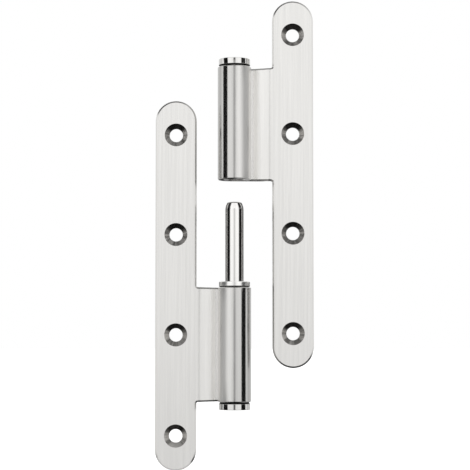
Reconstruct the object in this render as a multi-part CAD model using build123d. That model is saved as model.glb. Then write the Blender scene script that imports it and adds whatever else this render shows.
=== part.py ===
from build123d import *
import math
import os

# A stainless lift-off hinge, laid open flat and lifted apart as in its catalogue view.
# The pin's axis is Z, the countersunk faces look along -Y, and the origin is on the axis, midway
# between the two halves. The upper half slips down over the pin of the lower one.

# Sheet and leaves
sheet = 2.8              # thickness of the sheet that both leaves are cut and rolled from
leaf_height = 140.0      # a leaf from end to end, along the pin
leaf_width = 15.6        # a leaf's straight plate, so its round ends have half of this as radius
axis_to_leaf = 14.4      # from the pin's axis to the plate's inner edge
closed_gap = 4.0         # between the countersunk faces when the leaves are folded together
front_edge = 0.6         # broken edge of the countersunk side, and so of the knuckle's bore
back_edge = 0.3          # broken edge of the other side, and so of the knuckle's outside
corner_radius = 0.6      # where the arm runs into the plate
corner_land = 0.1        # flat sheet between that corner and the joggle
root_flare = 0.15        # how much wider than the knuckle the arm is at its root, on each edge

# Screw holes, for countersunk wood or machine screws
hole_diameter = 5.1
head_diameter = 8.7
head_angle = 90.0
hole_count = 4               # spread evenly between the outermost two
hole_end_distance = 13.0     # from a leaf's end to its outermost hole

# Pin, knuckles and the bearing ring between them
pin_diameter = 7.0
running_clearance = 0.05     # between the pin and the upper knuckle, on the radius
pin_reach = 30.0             # bare pin above the bearing ring
pin_foot_gap = 3.3           # between the pin's foot and the cap below it, in the lower knuckle
nose_length = 3.0
nose_tip_diameter = 5.2
nose_round = 0.6
pin_foot_chamfer = 0.5
knuckle_length = 43.0
seam_gap = 0.15              # between the rolled end of the sheet and the arm it comes back to
roll_flat = 0.65             # straight sheet between the knuckle's width and the joggle
joggle_ease = 0.5            # bend radius of the joggle, as a share of the largest that fits
ring_thickness = 2.2
ring_diameter = 11.8
ring_clearance = 0.075       # between the ring and the pin, on the radius
ring_chamfer = 0.5
ring_top_chamfer = 0.25

# Caps that close the outer ends of the knuckles
cap_diameter = 11.9
cap_height = 2.95
cap_neck_diameter = 11.1
cap_neck_height = 0.65
cap_edge = 0.2
spigot_length = 4.0
spigot_chamfer = 0.4

# How far apart the halves stand when they are lifted off
lift = 38.5

# Sizes that follow from the ones above
leaf_front = closed_gap / 2
hole_pitch = (leaf_height - 2 * hole_end_distance) / (hole_count - 1)
knuckle_base = ring_thickness / 2
knuckle_top = knuckle_base + knuckle_length
socket_bore = pin_diameter / 2 + running_clearance
pin_bore = pin_diameter / 2
pin_grip = knuckle_length - spigot_length - pin_foot_gap
joggle_end = axis_to_leaf - corner_radius - corner_land
upper_middle = lift / 2
lower_middle = -lift / 2
steel = Color(0.78, 0.78, 0.77)


def sheet_section(bore):
    """The sheet seen along the pin: plate, joggle to the back, and the knuckle rolled round a bore."""
    outside = bore + sheet
    joggle_start = outside + roll_flat
    run = joggle_end - joggle_start
    depth = bore - leaf_front
    bend = joggle_ease * (run**2 + depth**2) / (4 * depth)
    straight = math.sqrt(run**2 + depth**2 - 4 * bend * depth)
    slope = math.degrees(2 * math.atan(depth / (run + straight)))
    near_centre = (joggle_start, bore + sheet / 2 - bend)
    far_centre = (joggle_end, leaf_front + sheet / 2 + bend)
    roll_end = math.degrees(math.asin((bore - seam_gap) / outside))
    roll_turn = 270 + roll_end
    plate_edge = axis_to_leaf + leaf_width
    with BuildSketch() as section:
        with BuildLine():
            front_far = CenterArc(far_centre, bend + sheet / 2, 270 - slope, slope)
            front_near = CenterArc(near_centre, bend - sheet / 2, 90, -slope)
            back_far = CenterArc(far_centre, bend - sheet / 2, 270 - slope, slope)
            back_near = CenterArc(near_centre, bend + sheet / 2, 90, -slope)
            inner_roll = CenterArc((0, 0), bore, 90, roll_turn)
            outer_roll = CenterArc((0, 0), outside, 90, roll_turn)
            Line(inner_roll @ 1, outer_roll @ 1)
            Line(inner_roll @ 0, front_near @ 0)
            Line(front_near @ 1, front_far @ 0)
            Line(outer_roll @ 0, back_near @ 0)
            Line(back_near @ 1, back_far @ 0)
            plate_front = Line(front_far @ 1, (plate_edge, leaf_front))
            plate_back = Line(back_far @ 1, (plate_edge, leaf_front + sheet))
            Line(plate_front @ 1, plate_back @ 1)
        make_face()
    return section.sketch


def blank_outline(bore):
    """The leaf seen from the front: round-ended plate, arm flared at its root, and knuckle."""
    outside = bore + sheet
    middle = axis_to_leaf + leaf_width / 2
    plate = Pos(middle, 0) * SlotOverall(leaf_height, leaf_width, rotation=90)
    arm = Polygon(
        (-outside - sheet, knuckle_base),
        (outside, knuckle_base),
        (axis_to_leaf, knuckle_base - root_flare),
        (middle, knuckle_base - root_flare),
        (middle, knuckle_top + root_flare),
        (axis_to_leaf, knuckle_top + root_flare),
        (outside, knuckle_top),
        (-outside - sheet, knuckle_top),
        align=None,
    )
    outline = plate + arm
    arm_ends = (knuckle_base - root_flare, knuckle_top + root_flare)
    roots = [
        corner
        for corner in outline.vertices()
        if any(math.dist((corner.X, corner.Y), (axis_to_leaf, end)) < corner_radius / 10 for end in arm_ends)
    ]
    return fillet(roots, corner_radius)


def break_edges(body, face_height, size):
    """Chamfers the rim of the plate's front or back face, and on along the arm and round the knuckle."""
    arm_middle = (knuckle_base + knuckle_top) / 2
    rims = [
        edge
        for edge in body.edges()
        if all(abs((edge @ place).Y - face_height) < size / 100 for place in (0, 0.5, 1))
    ]
    bend_line = min(rims, key=lambda edge: math.dist(((edge @ 0.5).X, (edge @ 0.5).Z), (0, arm_middle)))
    return chamfer([edge for edge in rims if edge.length > corner_radius and edge is not bend_line], size)


def screw_holes():
    """Clearance holes along the plate's centre line, countersunk from the front."""
    middle = axis_to_leaf + leaf_width / 2
    drill = CounterSinkHole(hole_diameter / 2, head_diameter / 2, 2 * sheet, head_angle)
    places = [(number - (hole_count - 1) / 2) * hole_pitch for number in range(hole_count)]
    return [Plane((middle, leaf_front, place), z_dir=(0, -1, 0)) * drill for place in places]


def leaf(bore):
    """A leaf with its knuckle, in one piece of sheet, about its own middle height."""
    depth = axis_to_leaf + leaf_width
    section = extrude(Plane((0, 0, -leaf_height / 2)) * sheet_section(bore), leaf_height)
    body = section & extrude(Plane.XZ * blank_outline(bore), depth, both=True)
    body = break_edges(body, leaf_front, front_edge)
    body = break_edges(body, leaf_front + sheet, back_edge)
    for hole in screw_holes():
        body = body - hole
    return body


def hinge_pin():
    """The pin from its foot to its bullet nose, with its seat in the knuckle up to height 0."""
    radius = pin_diameter / 2
    tip = nose_tip_diameter / 2
    inset = radius - tip
    bend = (nose_length**2 + inset**2) / (2 * inset)
    shoulder = pin_reach + ring_thickness - nose_length
    foot = -pin_grip
    with BuildSketch(Plane.XZ) as section:
        with BuildLine():
            Polyline(
                (0, shoulder + nose_length),
                (0, foot),
                (radius - pin_foot_chamfer, foot),
                (radius, foot + pin_foot_chamfer),
                (radius, shoulder),
            )
            turn = math.degrees(math.asin(nose_length / bend))
            side = CenterArc((radius - bend, shoulder), bend, 0, turn)
            Line(side @ 1, (0, shoulder + nose_length))
        make_face()
    pin = revolve(section.sketch, Axis.Z)
    tip_edge = pin.edges().filter_by(GeomType.CIRCLE).group_by(Axis.Z)[-1]
    return fillet(tip_edge, nose_round)


def bearing_ring():
    """The loose ring between the knuckles, standing on height 0, bevelled below and rounded on top."""
    bore = pin_diameter / 2 + ring_clearance
    ring = Cylinder(ring_diameter / 2, ring_thickness, align=(Align.CENTER, Align.CENTER, Align.MIN))
    rims = ring.edges().filter_by(GeomType.CIRCLE).sort_by(Axis.Z)
    ring = chamfer(rims[0], ring_chamfer)
    ring = chamfer(ring.edges().filter_by(GeomType.CIRCLE).sort_by(Axis.Z)[-1], ring_top_chamfer)
    return ring - Cylinder(bore, 3 * ring_thickness)


def cap(bore):
    """A turned cap standing on a knuckle's end at height 0: head, narrow neck and pressed-in spigot."""
    centred = (Align.CENTER, Align.CENTER, Align.MIN)
    head = Pos(0, 0, cap_neck_height) * Cylinder(cap_diameter / 2, cap_height - cap_neck_height, align=centred)
    head = chamfer(head.edges().filter_by(GeomType.CIRCLE).sort_by(Axis.Z)[-1], cap_edge)
    neck = Cylinder(cap_neck_diameter / 2, cap_neck_height, align=centred)
    spigot = Pos(0, 0, -spigot_length) * Cylinder(bore, spigot_length, align=centred)
    spigot = chamfer(spigot.edges().filter_by(GeomType.CIRCLE).sort_by(Axis.Z)[0], spigot_chamfer)
    return head + neck + spigot


# The upper half has the running bore, and the lower half is the same blank turned end over end
turned_over = Rot(0, 180, 0)
pieces = {
    "socket_leaf": Pos(0, 0, upper_middle) * leaf(socket_bore),
    "top_cap": Pos(0, 0, upper_middle + knuckle_top) * cap(socket_bore),
    "pin_leaf": Pos(0, 0, lower_middle) * turned_over * leaf(pin_bore),
    "hinge_pin": Pos(0, 0, lower_middle - knuckle_base) * hinge_pin(),
    "bearing_ring": Pos(0, 0, lower_middle - knuckle_base) * bearing_ring(),
    "bottom_cap": Pos(0, 0, lower_middle - knuckle_top) * turned_over * cap(pin_bore),
}

os.makedirs("parts", exist_ok=True)
for name, piece in pieces.items():
    piece.label = name
    piece.color = steel
    export_step(piece, f"parts/{name}.step")
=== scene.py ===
import math

import bpy
import numpy as np
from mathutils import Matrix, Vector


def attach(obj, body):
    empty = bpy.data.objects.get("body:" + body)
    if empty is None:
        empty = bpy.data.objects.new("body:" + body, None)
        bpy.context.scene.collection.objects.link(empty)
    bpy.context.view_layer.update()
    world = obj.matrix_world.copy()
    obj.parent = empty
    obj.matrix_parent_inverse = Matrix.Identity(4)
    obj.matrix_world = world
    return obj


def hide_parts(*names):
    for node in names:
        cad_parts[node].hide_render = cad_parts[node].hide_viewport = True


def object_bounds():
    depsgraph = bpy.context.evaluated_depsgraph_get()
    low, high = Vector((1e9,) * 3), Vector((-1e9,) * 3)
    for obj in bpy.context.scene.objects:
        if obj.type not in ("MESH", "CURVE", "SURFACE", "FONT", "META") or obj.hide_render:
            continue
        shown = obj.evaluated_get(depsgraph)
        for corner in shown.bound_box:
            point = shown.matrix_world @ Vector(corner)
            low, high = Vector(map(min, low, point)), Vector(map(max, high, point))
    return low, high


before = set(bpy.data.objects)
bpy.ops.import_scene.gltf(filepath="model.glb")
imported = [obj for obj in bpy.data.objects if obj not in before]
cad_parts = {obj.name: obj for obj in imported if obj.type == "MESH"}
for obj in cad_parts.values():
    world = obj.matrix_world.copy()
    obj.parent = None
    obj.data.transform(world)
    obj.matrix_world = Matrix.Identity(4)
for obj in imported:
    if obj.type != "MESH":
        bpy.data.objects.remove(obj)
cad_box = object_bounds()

# The lens stands a little below the hinge's middle, 610 mm in front of the countersunk faces, and looks
# slightly up, so that the upper half's mouth is seen from below and the bevels of its top ends are too.
scene = bpy.context.scene
scene.view_settings.view_transform = "Standard"
lens = bpy.data.cameras.new("lens")
lens.sensor_fit = "HORIZONTAL"
lens.angle = math.radians(16.54)
lens.clip_start = 0.01
camera = bpy.data.objects.new("lens", lens)
camera.location = (0.0002, -0.610, -0.0384)
camera.rotation_euler = (math.radians(90 + 3.55), 0, 0)
scene.collection.objects.link(camera)
scene.camera = camera


# The studio is a white tent round the hinge, which the steel mirrors: a broad bright front that dims
# towards the sides, a dim ceiling and a dark bench edge. To the lens itself the tent is plain white.
def add_node(tree, kind, column, row, **settings):
    """A new shader node at a column and row of the sheet, with its properties set."""
    node = tree.nodes.new(kind)
    node.location = (200 * column, -220 * row)
    for name, value in settings.items():
        setattr(node, name, value)
    return node


def feed(tree, socket, source):
    """Links an output to a socket, or sets the socket to a plain value."""
    if isinstance(source, bpy.types.NodeSocket):
        tree.links.new(source, socket)
    else:
        socket.default_value = source


def calculate(tree, column, row, operation, *sources):
    """One step of arithmetic on numbers or other nodes' outputs."""
    node = add_node(tree, "ShaderNodeMath", column, row, operation=operation)
    for socket, source in zip(node.inputs, sources):
        feed(tree, socket, source)
    return node.outputs[0]


def fade(tree, column, row, value, start, end, start_level=0.0, end_level=1.0):
    """A soft step from one level to another as the value goes from start to end."""
    node = add_node(tree, "ShaderNodeMapRange", column, row, interpolation_type="SMOOTHSTEP")
    sources = (value, start, end, start_level, end_level)
    for socket, source in zip(node.inputs, sources):
        feed(tree, socket, source)
    return node.outputs[0]


def blend(tree, column, row, share, first, second):
    """Goes from the first colour or number to the second as the share goes from 0 to 1."""
    node = add_node(tree, "ShaderNodeMix", column, row, data_type="RGBA")
    sockets = [socket for socket in node.inputs if socket.enabled]
    for socket, source in zip(sockets, (share, first, second)):
        feed(tree, socket, source)
    return next(socket for socket in node.outputs if socket.enabled)


def mix_shaders(tree, column, row, share, first, second):
    """Goes from the first shader to the second as the share goes from 0 to 1."""
    node = add_node(tree, "ShaderNodeMixShader", column, row)
    for socket, source in zip(node.inputs, (share, first, second)):
        feed(tree, socket, source)
    return node.outputs[0]


def tent_wall(tree, column, row, angle, stops):
    """Grey levels of the tent at given angles in degrees, with straight runs between them."""
    share = calculate(tree, column, row, "MULTIPLY_ADD", angle, 0.5 / math.pi, 0.5)
    ramp = add_node(tree, "ShaderNodeValToRGB", column + 1, row)
    elements = ramp.color_ramp.elements
    elements.remove(elements[0])
    elements[0].position = 0.0
    for degrees, level in stops:
        place = 0.5 + degrees / 360
        element = elements[0] if place == 0 else elements.new(place)
        element.color = (level, level, level, 1)
    feed(tree, ramp.inputs[0], share)
    return ramp.outputs[0]


tent = bpy.data.worlds.new("white_tent")
tent.use_nodes = True
scene.world = tent
tree = tent.node_tree
tree.nodes.clear()
split = add_node(tree, "ShaderNodeSeparateXYZ", 1, 0)
feed(tree, split.inputs[0], add_node(tree, "ShaderNodeTexCoord", 0, 0).outputs["Generated"])
ahead = calculate(tree, 2, 0, "MULTIPLY", split.outputs["Y"], -1.0)
round_turn = calculate(tree, 3, 0, "ARCTAN2", split.outputs["X"], ahead)
climb = calculate(tree, 3, 2, "ARCSINE", split.outputs["Z"])
# Round at eye height: 0 is the lens, 180 the wall behind the hinge
round_stops = [(-180, 0.9), (-150, 0.8), (-103, 0.70), (-98, 0.96), (-84, 0.96), (-79, 0.55), (-66, 0.60),
               (-44, 1.06), (-26, 1.06), (-15, 0.98), (15, 0.98), (26, 1.06), (44, 1.06), (66, 0.60),
               (79, 0.55), (84, 0.96), (98, 0.96), (103, 0.70), (150, 0.8), (180, 0.9)]
around = tent_wall(tree, 4, 0, round_turn, round_stops)
# From straight down to straight up, in front of the hinge and behind it
front_stops = [(-90, 0.0), (-76, 0.0), (-65, 0.38), (-40, 0.55), (-16, 0.62), (-5, 0.77), (0, 0.92),
               (5, 1.0), (15, 1.05), (60, 1.0), (72, 0.8), (82, 0.2), (90, 0.15)]
back_stops = [(-90, 0.0), (-76, 0.0), (-65, 0.38), (-40, 0.55), (-16, 0.70), (-5, 0.85), (3, 0.95),
              (25, 1.0), (45, 0.8), (70, 0.4), (90, 0.15)]
front = tent_wall(tree, 4, 2, climb, front_stops)
back = tent_wall(tree, 4, 4, climb, back_stops)
turned_away = calculate(tree, 4, 6, "ABSOLUTE", round_turn)
behind = fade(tree, 5, 6, turned_away, math.radians(60), math.radians(86))
up_and_down = blend(tree, 6, 2, behind, front, back)
level = calculate(tree, 7, 0, "MULTIPLY", around, up_and_down)
# Dark panels of the tent: low down on both sides, and high up on the left
off_side = calculate(tree, 5, 8, "SUBTRACT", turned_away, math.radians(90))
at_side = fade(tree, 7, 8, calculate(tree, 6, 8, "ABSOLUTE", off_side), math.radians(30), math.radians(18))
low_panel = fade(tree, 6, 9, climb, math.radians(-14), math.radians(-30))
middle_blur = 0.1  # radians
on_left = fade(tree, 6, 10, round_turn, middle_blur, -middle_blur)
high_up = fade(tree, 6, 11, climb, math.radians(22), math.radians(36))
high_panel = calculate(tree, 7, 10, "MULTIPLY", on_left, high_up)
either_panel = calculate(tree, 8, 10, "MAXIMUM", low_panel, high_panel)
panels = calculate(tree, 8, 9, "MULTIPLY", at_side, either_panel)
panel_weight = -0.9
level = calculate(tree, 7, 1, "MULTIPLY", level,
                  calculate(tree, 9, 9, "MULTIPLY_ADD", panels, panel_weight, 1.0))
overhead = fade(tree, 7, 3, climb, math.radians(70), math.radians(84))
ceiling_grey = (0.15, 0.15, 0.15, 1)
level = blend(tree, 8, 0, overhead, level, ceiling_grey)
light = add_node(tree, "ShaderNodeBackground", 9, 0)
feed(tree, light.inputs["Color"], level)
plain = add_node(tree, "ShaderNodeBackground", 9, 2)
plain.inputs["Color"].default_value = (1, 1, 1, 1)
to_lens = add_node(tree, "ShaderNodeLightPath", 9, 4).outputs["Is Camera Ray"]
world_out = add_node(tree, "ShaderNodeOutputWorld", 11, 0)
feed(tree, world_out.inputs["Surface"],
     mix_shaders(tree, 10, 0, to_lens, light.outputs[0], plain.outputs[0]))


# The floor is a pale sheet of paper just under the hinge. It keeps a faint shadow, is clear from below,
# and stays out of the steel's reflections.
def start_material(name):
    """An empty node material. Returns it with its tree and its output's surface socket."""
    material = bpy.data.materials.new(name)
    material.use_nodes = True
    material.node_tree.nodes.clear()
    surface = add_node(material.node_tree, "ShaderNodeOutputMaterial", 12, 0).inputs["Surface"]
    return material, material.node_tree, surface


paper, tree, surface = start_material("pale_floor")
shade = add_node(tree, "ShaderNodeBsdfDiffuse", 8, 0)
shade.inputs["Color"].default_value = (0.8, 0.8, 0.8, 1)
glow = add_node(tree, "ShaderNodeEmission", 8, 2)
to_lens = add_node(tree, "ShaderNodeLightPath", 6, 2).outputs["Is Camera Ray"]
paper_glow = 0.72
feed(tree, glow.inputs["Strength"], calculate(tree, 7, 2, "MULTIPLY", to_lens, paper_glow))
lit = add_node(tree, "ShaderNodeAddShader", 10, 0)
feed(tree, lit.inputs[0], shade.outputs[0])
feed(tree, lit.inputs[1], glow.outputs[0])
from_below = add_node(tree, "ShaderNodeNewGeometry", 10, 2).outputs["Backfacing"]
clear = add_node(tree, "ShaderNodeBsdfTransparent", 10, 4)
feed(tree, surface, mix_shaders(tree, 11, 0, from_below, lit.outputs[0], clear.outputs[0]))
floor_gap = 0.006
floor_height = cad_box[0][2] - floor_gap
floor_reach = 6.0
corners = np.array([(-1, -1), (1, -1), (1, 1), (-1, 1)]) * floor_reach
floor_mesh = bpy.data.meshes.new("floor")
floor_mesh.from_pydata(np.column_stack([corners, np.full(4, floor_height)]).tolist(), [], [(0, 1, 2, 3)])
floor_mesh.materials.append(paper)
floor = bpy.data.objects.new("floor", floor_mesh)
floor.visible_glossy = False
scene.collection.objects.link(floor)


# Dark cards stand round the hinge and draw the lines and shades that run down its turned steel, and strips
# of grey gauze in front draw the soft line down the middle. They are seen in reflections only, and are
# clear to rays that come from elsewhere than the pin's axis, so that the flat leaves don't show them.
def hang_screen(name, matter, rows):
    """A sheet for the reflections alone, through rows of equally many points in metres."""
    rows = np.array(rows)
    number = np.arange(rows.shape[0] * rows.shape[1]).reshape(rows.shape[:2])
    mesh = bpy.data.meshes.new(name)
    faces = np.stack([number[:-1, :-1], number[:-1, 1:], number[1:, 1:], number[1:, :-1]], axis=2)
    mesh.from_pydata(rows.reshape(-1, 3).tolist(), [], faces.reshape(-1, 4).tolist())
    mesh.materials.append(matter)
    screen = bpy.data.objects.new(name, mesh)
    screen.visible_camera = False
    screen.visible_diffuse = False
    screen.visible_shadow = False
    scene.collection.objects.link(screen)


def square_on(tree, column, row, within=8.5):
    """1 for rays that meet a screen within so many degrees of square, down to 0 at 3 degrees more."""
    facing = add_node(tree, "ShaderNodeLayerWeight", column, row)
    facing.inputs["Blend"].default_value = 0.5
    aslant, square = (1 - math.cos(math.radians(angle)) for angle in (within + 3, within))
    return fade(tree, column + 1, row, facing.outputs["Facing"], aslant, square)


def hang_light(tree, surface, cover, glow):
    """Shows a screen's glow as far as it covers, and leaves the rest clear."""
    clear = add_node(tree, "ShaderNodeBsdfTransparent", 8, 2)
    feed(tree, surface, mix_shaders(tree, 10, 0, cover, clear.outputs[0], glow.outputs[0]))


screen_distance = 0.060


def card_matter(name, front_level, back_level, front=-0.020, back=0.015, ends_fade=False,
                first_only=False, all_round=False, within=8.5, distance=screen_distance):
    """A card's grey, going from one level in front to another at the back, on its inner side only.

    Only rays from about its own distance away see it. Unless it's meant for rays from all round, they
    have to meet it square within so many degrees. It may fade out away from the hinge's middle height, or
    be seen at first hand only."""
    card, tree, surface = start_material(name)
    split = add_node(tree, "ShaderNodeSeparateXYZ", 1, 0)
    feed(tree, split.inputs[0], add_node(tree, "ShaderNodeTexCoord", 0, 0).outputs["Object"])
    glow = add_node(tree, "ShaderNodeEmission", 8, 0)
    grey = fade(tree, 3, 0, split.outputs["Y"], front, back, front_level, back_level)
    feed(tree, glow.inputs["Color"], grey)
    outer_side = add_node(tree, "ShaderNodeNewGeometry", 2, 2).outputs["Backfacing"]
    cover = calculate(tree, 3, 2, "SUBTRACT", 1.0, outer_side)
    path = add_node(tree, "ShaderNodeLightPath", 2, 3).outputs
    # Rays shorter than the first length or longer than the last pass through, in metres
    unseen_near, seen_near = distance - 0.024, distance - 0.019
    seen_far, unseen_far = distance + 0.007, distance + 0.011
    near = fade(tree, 3, 6, path["Ray Length"], unseen_near, seen_near)
    far = fade(tree, 3, 7, path["Ray Length"], unseen_far, seen_far)
    cover = calculate(tree, 6, 2, "MULTIPLY", cover, calculate(tree, 5, 2, "MULTIPLY", near, far))
    if not all_round:
        cover = calculate(tree, 6, 3, "MULTIPLY", cover, square_on(tree, 3, 4, within))
    if first_only:
        first = calculate(tree, 3, 8, "LESS_THAN", path["Glossy Depth"], 1.5)
        cover = calculate(tree, 7, 2, "MULTIPLY", cover, first)
    if ends_fade:
        full_to, gone_at = 0.033, 0.056
        height = calculate(tree, 4, 5, "ABSOLUTE", split.outputs["Z"])
        cover = calculate(tree, 8, 2, "MULTIPLY", cover, fade(tree, 5, 5, height, gone_at, full_to))
    hang_light(tree, surface, cover, glow)
    return card


# The cards are bent round the pin's axis, and upright to an arc about the height of the lens, so that the
# rays from the turned steel meet them square. Their heights part the caps, the knuckles and the pin, and
# beside the arm the caps' cards reach about a millimetre further towards the middle.
arc_reach = screen_distance - camera.location.y
splits = foot, low, middle, high, head, crown = (-0.13, -0.0659, -0.0186, 0.0210, 0.0728, 0.16)
head_beside_arm = head - 0.0012
low_beside_arm = low + 0.0008


def arc_points(low_end, high_end, count=9):
    """Distances in front of the pin's axis, and heights, along the upright arc between two heights.

    At a tilt t the arc is short of its full distance by its reach times 1 - cos t, and its height is the
    lens's plus the reach times sin t."""
    ends = [math.asin((height - camera.location.z) / arc_reach) for height in (low_end, high_end)]
    tilts = np.linspace(*ends, count)
    return screen_distance - arc_reach * (1 - np.cos(tilts)), camera.location.z + arc_reach * np.sin(tilts)


def turns_of(span, count=24):
    """The turns from the lens's direction, in radians and down a column, across a span in degrees."""
    return np.radians(np.linspace(*span, count))[:, None]


black = 0.006
card_black = card_matter("card_black", front_level=black, back_level=0.09)
card_dark = card_matter("card_dark", front_level=black, back_level=0.02)
card_dim = card_matter("card_dim", front_level=0.14, back_level=0.14)
card_edge = card_matter("card_edge", front_level=black, back_level=black, ends_fade=True)
card_arm = card_matter("card_arm", front_level=0.98, back_level=0.38, front=-0.050, back=-0.016,
                       first_only=True)
# Spans in degrees round the axis from the lens's direction, for both sides alike
cap_span, cap_arm_span = (48.5, 83.1), (91.4, 127.8)
knuckle_span, edge_span, arm_span = (46.7, 79.6), (96, 128), (38, 111)
pin_span = (56.5, 146)
for name, matter, sides, low_end, high_end, span in (
        ("card_cap_high", card_black, (-1,), head, crown, cap_span),
        ("card_cap_high", card_black, (1,), head_beside_arm, crown, cap_span),
        ("card_cap_arm_high", card_dim, (1,), head_beside_arm, crown, cap_arm_span),
        ("card_knuckle_high", card_black, (-1,), high, head, knuckle_span),
        ("card_edge_high", card_edge, (-1,), high, head, edge_span),
        ("card_arm_high", card_arm, (1,), high, head_beside_arm, arm_span),
        ("card_pin", card_dark, (-1, 1), middle, high, pin_span),
        ("card_knuckle_low", card_black, (1,), low, middle, knuckle_span),
        ("card_edge_low", card_edge, (1,), low, middle, edge_span),
        ("card_arm_low", card_arm, (-1,), low_beside_arm, middle, arm_span),
        ("card_cap_low", card_black, (1,), foot, low, cap_span),
        ("card_cap_low", card_black, (-1,), foot, low_beside_arm, cap_span),
        ("card_cap_arm_low", card_dim, (-1,), foot, low_beside_arm, cap_arm_span)):
    reach, height = arc_points(low_end, high_end)
    turns = turns_of(span)
    for side in sides:
        grid = np.stack([side * reach * np.sin(turns), -reach * np.cos(turns), height + 0 * turns], axis=2)
        hang_screen(name, matter, grid[::side])

# Two more are bent like a ball round the pin's nose, whose curve mirrors what stands higher up
nose_height = 0.010
nose_distance = 0.100
card_nose = card_matter("card_nose", front_level=black, back_level=0.02, within=3.0,
                        distance=nose_distance)
turns = turns_of(pin_span)
lowest_tilt, highest_tilt = 8, 50
tilts = np.radians(np.linspace(lowest_tilt, highest_tilt, 9))
for side in (-1, 1):
    grid = nose_distance * np.stack([side * np.cos(tilts) * np.sin(turns), -np.cos(tilts) * np.cos(turns),
                                     np.sin(tilts) + 0 * turns], axis=2)
    hang_screen("card_nose", card_nose, (grid + (0, 0, nose_height))[::side])

# One more stands behind, at the height that the upper knuckle's underside mirrors
card_behind = card_matter("card_behind", front_level=black, back_level=black, all_round=True)
hang_screen("card_behind", card_behind, [[(x, screen_distance, z) for z in (0.0085, 0.0195)]
                                         for x in (0.0120, -0.0080)])

# A pale mat lies on the floor below the lower leaf, and lightens the bevels of its foot
mat = card_matter("mat", front_level=0.60, back_level=0.60, all_round=True, distance=0.016)
mat_height = floor_height + 0.0005
hang_screen("mat", mat, [[(x, y, mat_height) for x in (-0.060, -0.0065)] for y in (-0.030, 0.030)])


gauze_grey = (0.10, 0.10, 0.10, 1)


def gauze_matter(name, core, edge, weight, square_only):
    """Grey gauze, thickest within the core and thinning to its edge, that may fade where seen aslant."""
    gauze, tree, surface = start_material(name)
    split = add_node(tree, "ShaderNodeSeparateXYZ", 2, 2)
    feed(tree, split.inputs[0], add_node(tree, "ShaderNodeTexCoord", 1, 2).outputs["Object"])
    from_axis = calculate(tree, 3, 2, "ABSOLUTE", split.outputs["X"])
    cover = fade(tree, 4, 2, from_axis, edge, core, 0.0, weight)
    if square_only:
        cover = calculate(tree, 6, 0, "MULTIPLY", cover, square_on(tree, 3, 0))
    glow = add_node(tree, "ShaderNodeEmission", 8, 0)
    glow.inputs["Color"].default_value = gauze_grey
    hang_light(tree, surface, cover, glow)
    return gauze


# The gauze is thick before the caps, thinner before the knuckles, and thin and wide before the pin
for_caps = gauze_matter("gauze_for_caps", core=0.0028, edge=0.0098, weight=1.0, square_only=True)
for_knuckles = gauze_matter("gauze_for_knuckles", core=0.0025, edge=0.0120, weight=0.55, square_only=True)
for_pin = gauze_matter("gauze_for_pin", core=0.0040, edge=0.0150, weight=0.36, square_only=False)
gauze_half_width = 0.015
for zone, matter in enumerate((for_caps, for_knuckles, for_pin, for_knuckles, for_caps)):
    reach, height = arc_points(splits[zone], splits[zone + 1])
    hang_screen("gauze", matter, [[(-gauze_half_width, -y, z), (gauze_half_width, -y, z)]
                                  for y, z in zip(reach, height)])


# The two leaves are one blank of 2.8 mm stainless sheet each, brushed lengthwise, with its arm joggled
# back and its end rolled round the pin. The roll is polished on the side away from the arm, and the
# countersinks are left as the cutter made them, with painted shade that darkens their tops. The lower
# leaf is the upper one turned end over end.
to_mm = (1000, 1000, 1000)  # the materials' patterns are laid out in mm
leaf_middle = 19.25         # from the origin to the middle of a leaf's height
hole_line = 22.2            # from the pin's axis to the line of screw holes
hole_pitch = 38.0
head_radius = 4.35
knuckle_radius = 6.35
satin_steel = (0.835, 0.826, 0.806)
cut_steel = (0.80, 0.78, 0.75)


def start_group(name, inputs, outputs):
    """An empty node group with these named sockets. Returns it with its input and output nodes."""
    group = bpy.data.node_groups.new(name, "ShaderNodeTree")
    kinds = {"v": "NodeSocketVector", "f": "NodeSocketFloat"}
    for title, kind in inputs:
        group.interface.new_socket(title, in_out="INPUT", socket_type=kinds[kind])
    for title, kind in outputs:
        group.interface.new_socket(title, in_out="OUTPUT", socket_type=kinds[kind])
    entry = add_node(group, "NodeGroupInput", -4, 0)
    ending = add_node(group, "NodeGroupOutput", 12, 0)
    return group, entry.outputs, ending.inputs


def place_group(tree, column, row, group, **sources):
    """Puts a group into a material with its own values, and returns its outputs."""
    node = add_node(tree, "ShaderNodeGroup", column, row)
    node.node_tree = group
    for title, source in sources.items():
        feed(tree, node.inputs[title], source)
    return node.outputs


def noise(tree, column, row, place, size, detail, rough):
    """Noise from 0 to 1 whose patches measure about size = (x, y, z), in the units of place."""
    scaled = add_node(tree, "ShaderNodeVectorMath", column, row, operation="DIVIDE")
    feed(tree, scaled.inputs[0], place)
    feed(tree, scaled.inputs[1], size)
    cloud = add_node(tree, "ShaderNodeTexNoise", column + 1, row)
    feed(tree, cloud.inputs["Vector"], scaled.outputs[0])
    for title, value in (("Scale", 1.0), ("Detail", detail), ("Roughness", rough)):
        cloud.inputs[title].default_value = value
    return cloud.outputs[0]


def off_axis(tree, column, row, place):
    """The three coordinates of a place, and its distance from the Z axis."""
    split = add_node(tree, "ShaderNodeSeparateXYZ", column, row)
    feed(tree, split.inputs[0], place)
    level_place = add_node(tree, "ShaderNodeCombineXYZ", column + 1, row)
    feed(tree, level_place.inputs[0], split.outputs[0])
    feed(tree, level_place.inputs[1], split.outputs[1])
    reach = add_node(tree, "ShaderNodeVectorMath", column + 2, row, operation="LENGTH")
    feed(tree, reach.inputs[0], level_place.outputs[0])
    return split.outputs, reach.outputs["Value"]


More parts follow.
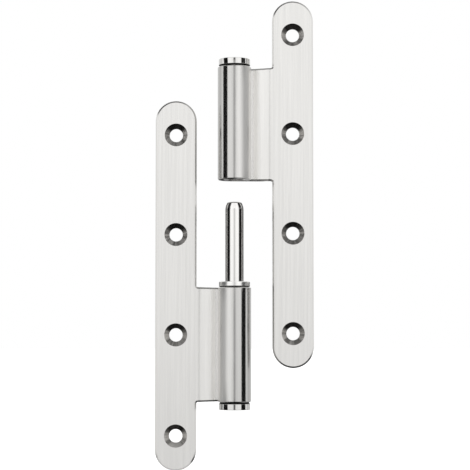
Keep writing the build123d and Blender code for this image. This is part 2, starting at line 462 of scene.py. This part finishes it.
# Brushing: long fine lines along Z, and wider streaks from the uneven pressure of the belt
brushing, given, result = start_group("brushing", [("Place", "v"), ("Width", "f"), ("Length", "f")],
                                      [("Lines", "f"), ("Streaks", "f")])
tree = brushing
across = add_node(tree, "ShaderNodeCombineXYZ", -3, 2)
feed(tree, across.inputs[0], given["Width"])
feed(tree, across.inputs[1], given["Width"])
feed(tree, across.inputs[2], given["Length"])
hair = noise(tree, 0, 0, given["Place"], across.outputs[0], 3.0, 0.6)
wide = add_node(tree, "ShaderNodeVectorMath", -1, 3, operation="MULTIPLY")
feed(tree, wide.inputs[0], across.outputs[0])
wide.inputs[1].default_value = (7.0, 7.0, 3.0)
streak = noise(tree, 0, 2, given["Place"], wide.outputs[0], 3.0, 0.65)
feed(tree, result["Lines"], hair)
feed(tree, result["Streaks"], streak)

# Countersinks: where they are, the rings and uneven bands that the cutter leaves in them, and how high
# up its hole a point lies, which places painted shade
countersink, given, result = start_group("countersink", [("Place", "v")],
                                         [("Inside", "f"), ("Rings", "f"), ("Bands", "f"), ("Rise", "f")])
tree = countersink
split = add_node(tree, "ShaderNodeSeparateXYZ", -3, 0)
feed(tree, split.inputs[0], given["Place"])
off_line = calculate(tree, -2, 0, "SUBTRACT", split.outputs[0], hole_line)
from_middle = calculate(tree, -2, 1, "SUBTRACT", split.outputs[2], leaf_middle)
off_hole = calculate(tree, -1, 1, "WRAP", from_middle, hole_pitch, 0.0)
off_hole = calculate(tree, 0, 1, "SUBTRACT", off_hole, hole_pitch / 2)
number = calculate(tree, 0, 2, "SNAP", from_middle, hole_pitch)
flat = add_node(tree, "ShaderNodeCombineXYZ", 1, 1)
feed(tree, flat.inputs[0], off_line)
feed(tree, flat.inputs[2], off_hole)
reach = add_node(tree, "ShaderNodeVectorMath", 2, 1, operation="LENGTH")
feed(tree, reach.inputs[0], flat.outputs[0])
radius = reach.outputs["Value"]
aim = add_node(tree, "ShaderNodeVectorMath", 2, 2, operation="NORMALIZE")
feed(tree, aim.inputs[0], flat.outputs[0])
spoke = add_node(tree, "ShaderNodeVectorMath", 3, 2, operation="ADD")
feed(tree, spoke.inputs[0], aim.outputs[0])
apart = add_node(tree, "ShaderNodeCombineXYZ", 2, 3)
feed(tree, apart.inputs[1], number)
feed(tree, spoke.inputs[1], apart.outputs[0])
bands = noise(tree, 4, 2, spoke.outputs[0], (0.55, 0.55, 0.55), 3.0, 0.6)
turn_marks = add_node(tree, "ShaderNodeCombineXYZ", 3, 4)
feed(tree, turn_marks.inputs[0], radius)
rings = noise(tree, 4, 4, turn_marks.outputs[0], (0.12, 1.0, 1.0), 2.0, 0.6)
feed(tree, result["Inside"], fade(tree, 4, 0, radius, head_radius + 0.03, head_radius - 0.05))
feed(tree, result["Rings"], rings)
feed(tree, result["Bands"], bands)
feed(tree, result["Rise"], calculate(tree, 4, 1, "DIVIDE", off_hole, radius))

# The roll: where it is, how far it is polished, which is least beside the arm, and the arm next to it,
# which the leaf's colour lightens with painted light
roll_polish, given, result = start_group("roll_polish", [("Place", "v")],
                                         [("On_roll", "f"), ("Polish", "f"), ("Beside", "f")])
tree = roll_polish
along, reach = off_axis(tree, -3, 0, given["Place"])
on_roll = fade(tree, 0, 0, reach, knuckle_radius + 0.4, knuckle_radius + 0.1)
facing = calculate(tree, -1, 2, "MULTIPLY", along[1], -1.0)
angle = calculate(tree, 0, 2, "ARCTAN2", along[0], facing)
waver = noise(tree, -1, 4, given["Place"], (3.0, 3.0, 14.0), 2.0, 0.5)
angle = calculate(tree, 2, 2, "MULTIPLY_ADD", waver, 0.3, angle)
outer = fade(tree, 3, 2, angle, 0.55, 0.05)
rear = fade(tree, 3, 3, angle, -2.9, -2.2)
feed(tree, result["On_roll"], on_roll)
beside = fade(tree, 1, 1, reach, 10.5, 7.5)
feed(tree, result["Beside"], calculate(tree, 2, 1, "SUBTRACT", beside, on_roll))
polish = calculate(tree, 4, 2, "MULTIPLY", outer, rear)
feed(tree, result["Polish"], calculate(tree, 5, 2, "MULTIPLY", polish, on_roll))


def start_steel(name, turned_over=False):
    """An empty steel. Returns its material, tree, shader, and place in mm, turned like the upper half's."""
    material, tree, surface = start_material(name)
    shader = add_node(tree, "ShaderNodeBsdfPrincipled", 10, 0)
    shader.inputs["Metallic"].default_value = 1.0
    feed(tree, surface, shader.outputs[0])
    upper_like = add_node(tree, "ShaderNodeMapping", 1, 0, vector_type="POINT")
    upper_like.inputs["Rotation"].default_value = (0, math.pi if turned_over else 0, 0)
    upper_like.inputs["Scale"].default_value = to_mm
    feed(tree, upper_like.inputs["Vector"], add_node(tree, "ShaderNodeTexCoord", 0, 0).outputs["Object"])
    return material, tree, shader, upper_like.outputs[0]


def tinted(tree, column, row, colour, level):
    """A plain colour, made lighter or darker by a level."""
    node = add_node(tree, "ShaderNodeVectorMath", column, row, operation="SCALE")
    node.inputs[0].default_value = colour
    feed(tree, node.inputs["Scale"], level)
    return node.outputs[0]


def raise_marks(tree, shader, height, strength, depth):
    """Fine relief on the steel, as deep as this in metres."""
    bump = add_node(tree, "ShaderNodeBump", 9, 4)
    bump.inputs["Strength"].default_value = strength
    bump.inputs["Distance"].default_value = depth
    feed(tree, bump.inputs["Height"], height)
    feed(tree, shader.inputs["Normal"], bump.outputs[0])


def leaf_finish(name, turned_over):
    """Brushed, polished and countersunk steel for one leaf."""
    material, tree, shader, place = start_steel(name, turned_over)
    brush = place_group(tree, 3, 0, brushing, Place=place, Width=0.14, Length=16.0)
    cut = place_group(tree, 3, 2, countersink, Place=place)
    roll = place_group(tree, 3, 4, roll_polish, Place=place)
    # Colour: the streaks tint the sheet by a few hundredths, and the countersinks are a darker grey steel,
    # with painted shade darkening each towards its top
    tint = fade(tree, 3, 6, brush["Streaks"], 0.3, 0.7, 0.968, 1.032)
    roll_shade = calculate(tree, 4, 7, "MULTIPLY_ADD", roll["Polish"], -0.24, 1.0)
    # Painted light: the arm next to the roll is made up to 12 % lighter, against the shade that falls there
    painted_light_beside_roll = calculate(tree, 4, 8, "MULTIPLY_ADD", roll["Beside"], 0.12, 1.0)
    tint = calculate(tree, 4, 0, "MULTIPLY", tint, roll_shade)
    tint = calculate(tree, 5, 7, "MULTIPLY", tint, painted_light_beside_roll)
    sheet_colour = tinted(tree, 5, 0, satin_steel, tint)
    cut_marks_and_painted_shade = fade(tree, 4, 2, cut["Bands"], 0.38, 0.62, 0.40, 1.0)
    # Painted shade: each countersink grows darker towards the top of its hole as the leaf is placed, down
    # to 6 % of its colour
    rise = calculate(tree, 4, 3, "MULTIPLY", cut["Rise"], -1.0 if turned_over else 1.0)
    cut_marks_and_painted_shade = calculate(tree, 5, 3, "MULTIPLY", cut_marks_and_painted_shade, fade(tree, 4, 1, rise, 0.10, 0.80, 1.0, 0.06))
    ring_shade = fade(tree, 5, 1, cut["Rings"], 0.35, 0.65, 0.70, 1.15)
    cut_marks_and_painted_shade = calculate(tree, 6, 3, "MULTIPLY", cut_marks_and_painted_shade, ring_shade)
    cut_colour = tinted(tree, 5, 2, cut_steel, cut_marks_and_painted_shade)
    colour = blend(tree, 7, 0, cut["Inside"], sheet_colour, cut_colour)
    feed(tree, shader.inputs["Base Color"], colour)
    # Roughness: satin sheet, bright roll, coarser countersinks
    satin = fade(tree, 4, 5, brush["Lines"], 0.25, 0.75, 0.18, 0.26)
    rolled = calculate(tree, 5, 4, "MULTIPLY_ADD", roll["Polish"], -0.18, 0.32)
    rough = blend(tree, 6, 4, roll["On_roll"], satin, rolled)
    rough = blend(tree, 7, 4, cut["Inside"], rough, (0.40, 0.40, 0.40, 1))
    feed(tree, shader.inputs["Roughness"], rough)
    # Relief: the brushed lines, fainter on the polished roll, and the cutter's rings
    line_depth = calculate(tree, 5, 6, "MULTIPLY_ADD", roll["Polish"], -0.8, 1.0)
    lines = calculate(tree, 6, 6, "MULTIPLY", brush["Lines"], line_depth)
    relief = blend(tree, 7, 6, cut["Inside"], lines, cut["Rings"])
    raise_marks(tree, shader, relief, strength=0.15, depth=0.00002)
    return material


for name, turned_over in (("socket_leaf", False), ("pin_leaf", True)):
    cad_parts[name].material_slots[0].material = leaf_finish(name + "_steel", turned_over)


# The two caps are turned from bar, ground bright and pressed into the rolled knuckles by a spigot. The neck
# is rough and carries painted shade, near black, which shows as a black line between the cap and the
# knuckle.
def round_corners(points, radii, steps=8):
    """A profile through these (radius, height) points, each corner replaced by an arc of its own radius.

    An arc touches both straight runs at radius times the tangent of half the turn from the corner, and its
    points are spread evenly over the turn. A point a little before and after it keeps the runs flat."""
    points = [np.array(point, float) for point in points]
    rows = [points[0]]
    for before, corner, after, radius in zip(points, points[1:], points[2:], radii):
        if radius == 0:
            rows.append(corner)
            continue
        arriving = (corner - before) / np.linalg.norm(corner - before)
        leaving = (after - corner) / np.linalg.norm(after - corner)
        turn = math.atan2(arriving[0] * leaving[1] - arriving[1] * leaving[0], arriving @ leaving)
        cut = radius * math.tan(abs(turn) / 2)
        lead = cut + radius / 4
        side = math.copysign(1, turn) * np.array([-arriving[1], arriving[0]])
        centre = corner - arriving * cut + side * radius
        angles = np.linspace(0, abs(turn), steps + 1)[:, None]
        rows.append(corner - arriving * lead)
        rows.extend(centre - side * radius * np.cos(angles) + arriving * radius * np.sin(angles))
        rows.append(corner + leaving * lead)
    rows.append(points[-1])
    return np.array(rows)


def turned_piece(name, profile, is_ring=False, steps=144):
    """A piece turned about the Z axis, in metres from a profile in mm.

    A profile point (radius, height) goes round at (radius * sin a, -radius * cos a, height) for equal
    steps of the angle a. A solid's profile starts and ends on the axis, where fans close it, and a
    ring's profile runs back into itself. It goes up the outside, so the faces point outwards."""
    around = np.arange(steps) * 2 * math.pi / steps
    rows = profile if is_ring else profile[1:-1]
    radius, height = rows[:, 0][:, None], rows[:, 1][:, None]
    grid = np.stack([radius * np.sin(around), -radius * np.cos(around), height + 0 * around], axis=2)
    count = len(rows)
    low = np.arange(count if is_ring else count - 1)[:, None] * steps
    high = (low + steps) % (count * steps)
    here, there = np.arange(steps), (np.arange(steps) + 1) % steps
    quads = np.stack([low + here, low + there, high + there, high + here], axis=2).reshape(-1, 4)
    points, faces = grid.reshape(-1, 3), quads.tolist()
    if not is_ring:
        bottom, top = len(points), len(points) + 1
        ends = np.array([(0, 0, profile[0, 1]), (0, 0, profile[-1, 1])])
        points = np.concatenate([points, ends])
        last = (count - 1) * steps
        faces += np.column_stack([there, here, np.full(steps, bottom)]).tolist()
        faces += np.column_stack([last + here, last + there, np.full(steps, top)]).tolist()
    mesh = bpy.data.meshes.new(name)
    mesh.from_pydata((points / 1000).tolist(), [], faces)
    mesh.polygons.foreach_set("use_smooth", np.ones(len(mesh.polygons), bool))
    mesh.update()
    piece = bpy.data.objects.new(name, mesh)
    scene.collection.objects.link(piece)
    return piece


# Lathe marks: fine rings round the Z axis on the sides and the ends, and faint scratches along it
turning, given, result = start_group("turning", [("Place", "v"), ("Pitch", "f")],
                                     [("Rings", "f"), ("Wear", "f")])
tree = turning
along, reach = off_axis(tree, -3, 0, given["Place"])
profile_place = add_node(tree, "ShaderNodeCombineXYZ", 0, 0)
feed(tree, profile_place.inputs[0], reach)
feed(tree, profile_place.inputs[2], along[2])
pitch = add_node(tree, "ShaderNodeCombineXYZ", 0, 2)
for socket in pitch.inputs:
    feed(tree, socket, given["Pitch"])
feed(tree, result["Rings"], noise(tree, 1, 0, profile_place.outputs[0], pitch.outputs[0], 2.0, 0.6))
feed(tree, result["Wear"], noise(tree, 1, 2, given["Place"], (0.5, 0.5, 5.0), 3.0, 0.6))


def turned_finish(name, pitch, smooth, worn, brightness, painted_shade_from=None, painted_shade_to=None, painted_shade_level=0.0):
    """Bright turned steel: ring marks at this pitch in mm, and roughness from smooth to worn.

    Heights count up or down from the middle. It keeps its colour at the first given height and turns to
    painted shade of the given grey from the second one on, where it is rougher too."""
    material, tree, shader, place = start_steel(name)
    marks = place_group(tree, 3, 0, turning, Place=place, Pitch=pitch)
    tint = fade(tree, 4, 0, marks["Wear"], 0.3, 0.7, 0.97, 1.02)
    colour = tinted(tree, 5, 0, (brightness, brightness * 0.99, brightness * 0.97), tint)
    rough = fade(tree, 5, 2, marks["Wear"], 0.3, 0.75, smooth, worn)
    # Painted shade: from a given height on, the colour goes to a given dark grey and the steel gets rougher
    if painted_shade_from:
        split = add_node(tree, "ShaderNodeSeparateXYZ", 3, 4)
        feed(tree, split.inputs[0], place)
        height = calculate(tree, 4, 4, "ABSOLUTE", split.outputs[2])
        rough_painted_shade = fade(tree, 5, 4, height, painted_shade_from, painted_shade_to)
        colour = blend(tree, 7, 0, rough_painted_shade, colour, (painted_shade_level, painted_shade_level, painted_shade_level, 1))
        rough = blend(tree, 7, 2, rough_painted_shade, rough, (0.6, 0.6, 0.6, 1))
    feed(tree, shader.inputs["Base Color"], colour)
    feed(tree, shader.inputs["Roughness"], rough)
    raise_marks(tree, shader, marks["Rings"], strength=0.08, depth=0.00001)
    return material


knuckle_end = 63.35         # mm, from the origin to where each knuckle ends
neck_height, neck_radius = 0.65, 5.55
cap_top, cap_radius = 2.95, 5.95
spigot_length = 4.0
spigot_round, neck_round, underside_round, rim_round = 0.4, 0.05, 0.12, 0.2
neck_top = knuckle_end + neck_height
# The caps' necks get painted shade, near black, reaching just past the underside of the head
cap_steel = turned_finish("cap_steel", pitch=0.09, smooth=0.06, worn=0.11, brightness=0.83,
                          painted_shade_from=neck_top + 0.12, painted_shade_to=neck_top + 0.04, painted_shade_level=0.02)
for name, body, side, bore in (("top_cap", "socket_half", 1, 3.55), ("bottom_cap", "pin_half", -1, 3.5)):
    outline = [(0, -spigot_length), (bore, -spigot_length), (bore, 0), (neck_radius, 0),
               (neck_radius, neck_height), (cap_radius, neck_height), (cap_radius, cap_top), (0, cap_top)]
    profile = round_corners(outline, (spigot_round, 0, neck_round, 0, underside_round, rim_round))
    profile = (profile + (0, knuckle_end)) * (1, side)
    piece = turned_piece(name + "_turned", profile[::side])
    piece.data.materials.append(cap_steel)
    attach(piece, body)
    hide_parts(name)


# The pin is a steel bar, ground bright, with a chamfered foot and a bullet nose that finds the socket. Its
# lower part is held in the lower knuckle, and 30 mm of it stand free above the bearing ring.
pin_radius = 3.5
pin_foot, nose_start, nose_tip = -56.05, 8.85, 11.85
pin_chamfer, chamfer_round, tip_round = 0.5, 0.1, 0.6
tip_radius = 2.6
nose_length, nose_inset = nose_tip - nose_start, pin_radius - tip_radius
# The nose is an arc that leaves the side smoothly and comes in by the inset over its length
nose_bend = (nose_length**2 + nose_inset**2) / (2 * nose_inset)
rise = np.linspace(0, nose_length, 17)[1:-1]
nose = np.column_stack([pin_radius - nose_bend + np.sqrt(nose_bend**2 - rise**2), nose_start + rise])
outline = [(0, pin_foot), (pin_radius - pin_chamfer, pin_foot), (pin_radius, pin_foot + pin_chamfer),
           (pin_radius, nose_start), *map(tuple, nose), (tip_radius, nose_tip), (0, nose_tip)]
radii = [chamfer_round, chamfer_round, 0, *[0] * len(nose), tip_round]
profile = round_corners(outline, radii)
piece = turned_piece("hinge_pin_ground", profile)
piece.data.materials.append(turned_finish("pin_steel", pitch=0.07, smooth=0.08, worn=0.14, brightness=0.92))
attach(piece, "pin_half")
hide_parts("hinge_pin")


# The bearing ring is turned from stainless bar, bevelled below and rounded on top. It lies loose on the pin
# between the knuckles, and carries the upper half when that is let down.
ring_foot, ring_top = -20.35, -18.17          # 0.02 short of the upper knuckle when that is let down
ring_middle = (ring_foot + ring_top) / 2
ring_bore, ring_radius = 3.575, 5.9
ring_chamfer, bore_round, ring_chamfer_round, ring_rim_round = 0.5, 0.1, 0.12, 0.35
outline = [(ring_bore, ring_middle), (ring_bore, ring_foot), (ring_radius - ring_chamfer, ring_foot),
           (ring_radius, ring_foot + ring_chamfer), (ring_radius, ring_top), (ring_bore, ring_top),
           (ring_bore, ring_middle)]
radii = (bore_round, ring_chamfer_round, ring_chamfer_round, ring_rim_round, bore_round)
profile = round_corners(outline, radii)[:-1]
piece = turned_piece("bearing_ring_turned", profile, is_ring=True)
# Painted shade, a dark grey, on the ring's bevelled foot, for the gap below it
piece.data.materials.append(turned_finish("ring_steel", pitch=0.12, smooth=0.17, worn=0.25, brightness=1.0,
                                          painted_shade_from=19.78, painted_shade_to=19.90, painted_shade_level=0.12))
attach(piece, "ring")
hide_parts("bearing_ring")
